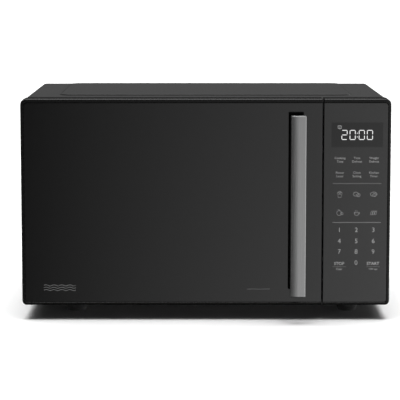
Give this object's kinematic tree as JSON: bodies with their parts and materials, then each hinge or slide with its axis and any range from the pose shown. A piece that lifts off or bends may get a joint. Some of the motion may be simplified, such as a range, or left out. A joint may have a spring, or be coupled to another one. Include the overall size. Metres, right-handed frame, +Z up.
{
  "type": "microwave oven",
  "caption": "Free-standing microwave oven with a side-hung black glass door, vertical bar handle, flat touch panel, turntable and latched interlock.",
  "frame": {"origin": "on the surface the feet stand on, under the centre of the whole box", "axes": "+Z up; the door, handle and control panel face -Y; +X towards the control panel, which is on the right seen from the front"},
  "size_m": [0.483, 0.396, 0.292],
  "materials": {
    "black_glass": "mirror-gloss black back-painted glass",
    "black_plastic": "satin moulded plastic",
    "dark_paint": "dark grey satin powder coat on steel sheet",
    "handle_metal": "silver-grey, brushed lengthways",
    "steel": "zinc-plated sheet, dull",
    "cavity_paint": "grey enamel, fine speckle",
    "clear_glass": "clear pressed glass",
    "mica": "mica sheet, faint mottling",
    "white_plastic": "satin acetal",
    "copper": "lacquered copper winding",
    "aluminium": "mill finish",
    "circuit_board": "green solder mask with parts",
    "rubber": "matt moulded rubber"
  },
  "bodies": {
    "cabinet": {"outer_cabinet": "dark_paint", "base_plate": "steel", "rear_panel": "steel", "cord_gland": "black_plastic", "foot_front_left": "rubber", "foot_rear_left": "rubber", "foot_front_right": "rubber", "foot_rear_right": "rubber", "rear_spacer_left": "black_plastic", "rear_spacer_right": "black_plastic", "cavity_front_plate": "cavity_paint", "oven_cavity": "cavity_paint", "waveguide_cover": "mica", "turntable_motor": "steel", "cavity_lamp": "clear_glass", "lamp_holder": "white_plastic", "waveguide": "steel", "magnetron_anode": "aluminium", "magnetron_frame": "steel", "magnetron_filter_box": "steel", "transformer_core": "steel", "primary_winding": "copper", "secondary_winding": "copper", "high_voltage_capacitor": "aluminium", "noise_filter_board": "circuit_board", "fan_shroud": "black_plastic", "fan_motor": "steel", "air_duct": "black_plastic", "interlock_bracket": "white_plastic", "door_switch_primary": "black_plastic", "door_switch_monitor": "black_plastic", "door_switch_secondary": "black_plastic", "control_panel_housing": "black_plastic", "control_panel_glass": "black_glass", "display_module": "black_glass", "control_board": "circuit_board", "hinge_bracket_lower": "steel", "hinge_bracket_upper": "steel"},
    "door": {"door_frame": "black_plastic", "door_glass": "black_glass", "door_inner_frame": "steel", "door_screen": "dark_paint", "door_inner_window": "clear_glass", "choke_cover": "black_plastic", "handle_trim": "handle_metal", "handle_body": "black_plastic", "latch_spring": "steel", "hinge_pin_lower": "steel", "hinge_pin_upper": "steel"},
    "latch": {"door_latch": "white_plastic"},
    "turntable": {"turntable_glass": "clear_glass", "turntable_coupler": "white_plastic"},
    "roller_carrier": {"roller_ring": "white_plastic"},
    "roller_1": {"roller_wheel_1": "white_plastic"},
    "roller_2": {"roller_wheel_2": "white_plastic"},
    "roller_3": {"roller_wheel_3": "white_plastic"},
    "fan": {"fan_impeller": "white_plastic"},
    "plunger_primary": {"switch_plunger_primary": "white_plastic"},
    "plunger_monitor": {"switch_plunger_monitor": "white_plastic"},
    "plunger_secondary": {"switch_plunger_secondary": "white_plastic"}
  },
  "joints": [
    {"name": "door_hinge", "type": "hinge", "parent": "cabinet", "child": "door", "pos_m": [-0.234, -0.1395, 0.156], "axis": [0, 0, -1], "range_deg": [0, 100]},
    {"name": "latch_slide", "type": "slide", "parent": "door", "child": "latch", "axis": [0, 0, 1], "range_m": [0, 0.004], "stiffness_N_per_m": 300, "springref_m": -0.004, "deforming": ["latch_spring"]},
    {"name": "turntable_spin", "type": "hinge", "parent": "cabinet", "child": "turntable", "pos_m": [-0.054, 0.0135, 0.061], "axis": [0, 0, 1], "continuous": true},
    {"name": "roller_carrier_spin", "type": "hinge", "parent": "cabinet", "child": "roller_carrier", "pos_m": [-0.054, 0.0135, 0.0593], "axis": [0, 0, 1], "continuous": true},
    {"name": "roller_1_spin", "type": "hinge", "parent": "roller_carrier", "child": "roller_1", "pos_m": [0.036, 0.0135, 0.0593], "axis": [1, 0, 0], "continuous": true},
    {"name": "roller_2_spin", "type": "hinge", "parent": "roller_carrier", "child": "roller_2", "pos_m": [-0.099, 0.09144, 0.0593], "axis": [-0.5, 0.866, 0], "continuous": true},
    {"name": "roller_3_spin", "type": "hinge", "parent": "roller_carrier", "child": "roller_3", "pos_m": [-0.099, -0.06444, 0.0593], "axis": [-0.5, -0.866, 0], "continuous": true},
    {"name": "fan_spin", "type": "hinge", "parent": "cabinet", "child": "fan", "pos_m": [0.177, 0.13, 0.193], "axis": [0, 1, 0], "continuous": true},
    {"name": "plunger_primary_travel", "type": "slide", "parent": "cabinet", "child": "plunger_primary", "axis": [0, 1, 0], "range_m": [0, 0.0018], "stiffness_N_per_m": 200},
    {"name": "plunger_monitor_travel", "type": "slide", "parent": "cabinet", "child": "plunger_monitor", "axis": [0, 1, 0], "range_m": [0, 0.0018], "stiffness_N_per_m": 200},
    {"name": "plunger_secondary_travel", "type": "slide", "parent": "cabinet", "child": "plunger_secondary", "axis": [0, 1, 0], "range_m": [0, 0.0018], "stiffness_N_per_m": 200}
  ],
  "couplings": [
    {"joint": "roller_carrier_spin", "follows": "turntable_spin", "ratio": 0.5},
    {"joint": "roller_1_spin", "follows": "turntable_spin", "ratio": -5.625},
    {"joint": "roller_2_spin", "follows": "turntable_spin", "ratio": -5.625},
    {"joint": "roller_3_spin", "follows": "turntable_spin", "ratio": -5.625}
  ]
}
